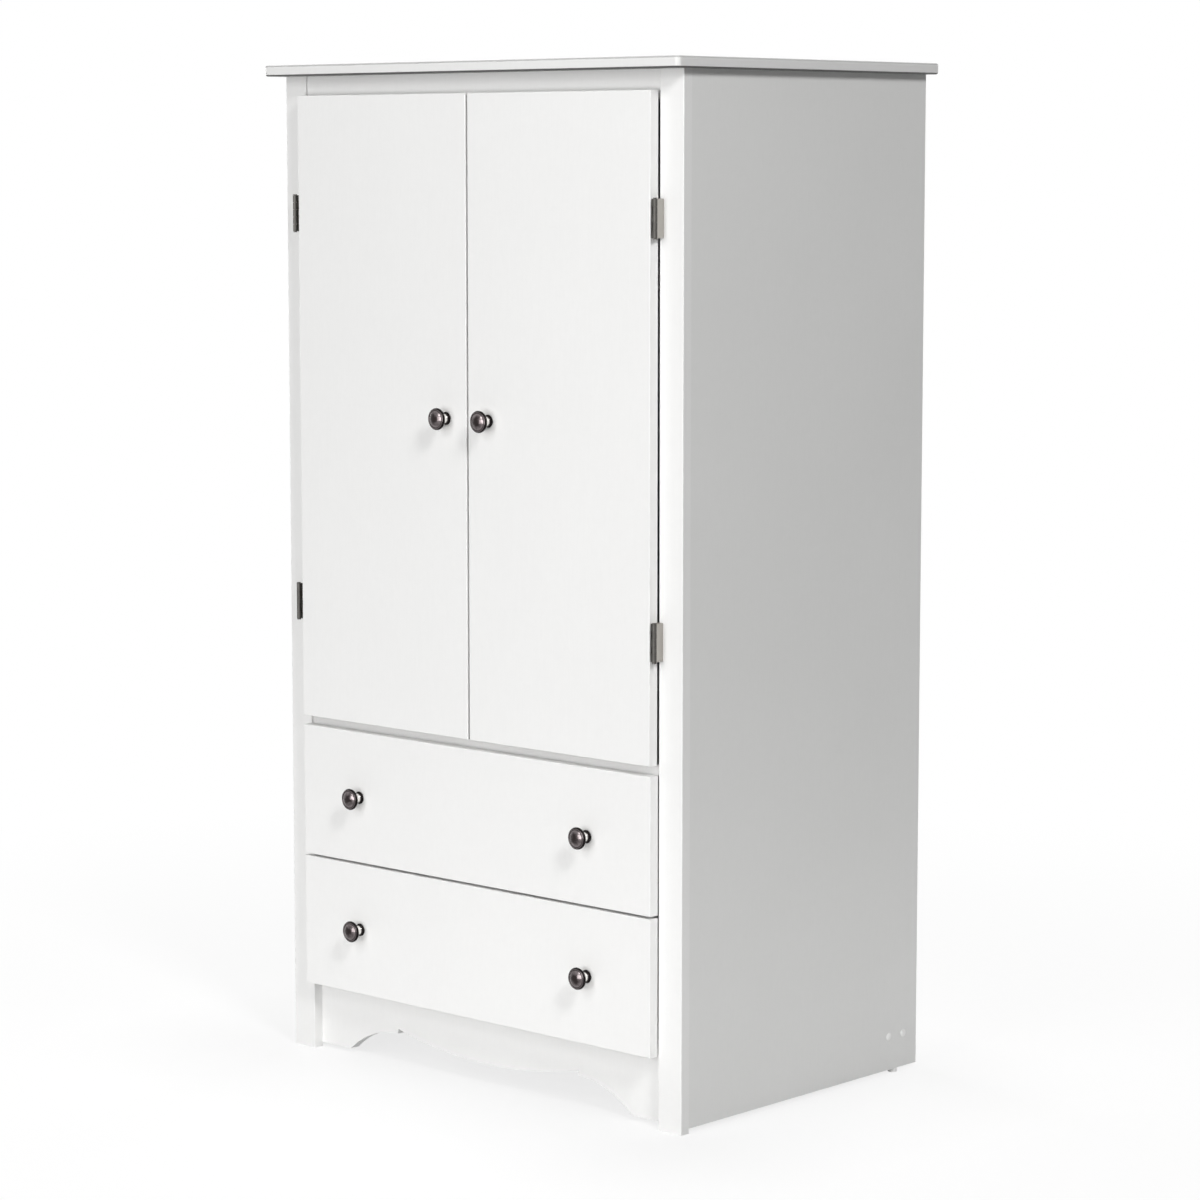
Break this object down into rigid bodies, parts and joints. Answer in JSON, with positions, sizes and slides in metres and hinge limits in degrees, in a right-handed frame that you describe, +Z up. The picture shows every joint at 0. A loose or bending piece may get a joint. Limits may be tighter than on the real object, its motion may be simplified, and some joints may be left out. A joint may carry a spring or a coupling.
{
  "type": "armoire",
  "caption": "White two-door armoire with roller drawers below, a hanging rod and a hat shelf inside, wrap hinges, round dark knobs and a scalloped base rail between stile feet.",
  "frame": {"origin": "centre of the footprint of the closed armoire, on the floor", "axes": "+Z up, -Y out of the doors and drawers, +X to the right of someone who faces the doors"},
  "size_m": [0.819, 0.579, 1.48],
  "materials": {
    "white_board": "white satin laminate on particle board",
    "drawer_board": "white paper foil on particle board",
    "white_hardboard": "white lacquered thin hardboard",
    "dark_pewter": "polished dark pewter plating",
    "brushed_nickel": "satin nickel plating",
    "zinc_plated_steel": "zinc plating",
    "zinc_cast": "raw die-cast zinc",
    "white_slide_steel": "white powder coat",
    "chrome_tube": "bright chrome plating",
    "beech": "raw beech",
    "white_plastic": "smooth white plastic",
    "nylon": "natural nylon",
    "ferrite": "dark sintered magnet"
  },
  "bodies": {
    "cabinet": {"adjustable_shelf": "white_board", "back_nails": "zinc_plated_steel", "base_rail": "white_board", "cabinet_screws": "zinc_plated_steel", "cabinet_slides": "white_slide_steel", "cam_bolts": "zinc_plated_steel", "cam_locks": "zinc_cast", "catch_magnets": "ferrite", "door_catches": "white_plastic", "fixed_shelf": "white_board", "frame_dowels": "beech", "hanging_rod": "chrome_tube", "hinge_frame_leaves": "brushed_nickel", "hinge_pins": "brushed_nickel", "left_side_panel": "white_board", "left_slide_cleats": "drawer_board", "left_stile": "white_board", "lower_back_panel": "white_hardboard", "rear_glides": "white_plastic", "rear_stretcher": "white_board", "right_side_panel": "white_board", "right_slide_cleats": "drawer_board", "right_stile": "white_board", "rod_sockets": "chrome_tube", "shelf_pins": "zinc_plated_steel", "side_cover_caps": "white_plastic", "stretcher_screws": "zinc_plated_steel", "top_panel": "white_board", "top_rail": "white_board", "upper_back_panel": "white_hardboard"},
    "right_door_leaf": {"right_door": "white_board", "right_door_hinge_leaves": "brushed_nickel", "right_door_knob": "dark_pewter", "right_door_screws": "zinc_plated_steel", "right_door_strike": "zinc_plated_steel"},
    "left_door_leaf": {"left_door": "white_board", "left_door_hinge_leaves": "brushed_nickel", "left_door_knob": "dark_pewter", "left_door_screws": "zinc_plated_steel", "left_door_strike": "zinc_plated_steel"},
    "upper_drawer": {"upper_drawer_back": "drawer_board", "upper_drawer_bottom": "white_hardboard", "upper_drawer_front": "white_board", "upper_drawer_knobs": "dark_pewter", "upper_drawer_left_side": "drawer_board", "upper_drawer_right_side": "drawer_board", "upper_drawer_screws": "zinc_plated_steel", "upper_drawer_slides": "white_slide_steel"},
    "lower_drawer": {"lower_drawer_back": "drawer_board", "lower_drawer_bottom": "white_hardboard", "lower_drawer_front": "white_board", "lower_drawer_knobs": "dark_pewter", "lower_drawer_left_side": "drawer_board", "lower_drawer_right_side": "drawer_board", "lower_drawer_screws": "zinc_plated_steel", "lower_drawer_slides": "white_slide_steel"},
    "upper_front_wheels": {"upper_cabinet_rollers": "nylon"},
    "lower_front_wheels": {"lower_cabinet_rollers": "nylon"},
    "upper_rear_wheels": {"upper_drawer_rollers": "nylon"},
    "lower_rear_wheels": {"lower_drawer_rollers": "nylon"}
  },
  "joints": [
    {"name": "right_door_swing", "type": "hinge", "parent": "cabinet", "child": "right_door_leaf", "pos_m": [0.3569, -0.2628, 0.6865], "axis": [0, 0, 1], "range_deg": [0, 110]},
    {"name": "left_door_swing", "type": "hinge", "parent": "cabinet", "child": "left_door_leaf", "pos_m": [-0.3569, -0.2628, 0.6865], "axis": [0, 0, -1], "range_deg": [0, 110]},
    {"name": "upper_drawer_slide", "type": "slide", "parent": "cabinet", "child": "upper_drawer", "axis": [0, -1, 0], "range_m": [0, 0.34]},
    {"name": "lower_drawer_slide", "type": "slide", "parent": "cabinet", "child": "lower_drawer", "axis": [0, -1, 0], "range_m": [0, 0.34]},
    {"name": "upper_front_wheels_roll", "type": "hinge", "parent": "cabinet", "child": "upper_front_wheels", "pos_m": [0, -0.2115, 0.3361], "axis": [1, 0, 0], "range_deg": [0, 1950]},
    {"name": "upper_rear_wheels_roll", "type": "hinge", "parent": "upper_drawer", "child": "upper_rear_wheels", "pos_m": [0, 0.1859, 0.3361], "axis": [1, 0, 0], "range_deg": [0, 1950]},
    {"name": "lower_front_wheels_roll", "type": "hinge", "parent": "cabinet", "child": "lower_front_wheels", "pos_m": [0, -0.2115, 0.1366], "axis": [1, 0, 0], "range_deg": [0, 1950]},
    {"name": "lower_rear_wheels_roll", "type": "hinge", "parent": "lower_drawer", "child": "lower_rear_wheels", "pos_m": [0, 0.1859, 0.1366], "axis": [1, 0, 0], "range_deg": [0, 1950]}
  ],
  "couplings": [
    {"joint": "upper_front_wheels_roll", "follows": "upper_drawer_slide", "rad_per_m": 100},
    {"joint": "upper_rear_wheels_roll", "follows": "upper_drawer_slide", "rad_per_m": 100},
    {"joint": "lower_front_wheels_roll", "follows": "lower_drawer_slide", "rad_per_m": 100},
    {"joint": "lower_rear_wheels_roll", "follows": "lower_drawer_slide", "rad_per_m": 100}
  ]
}
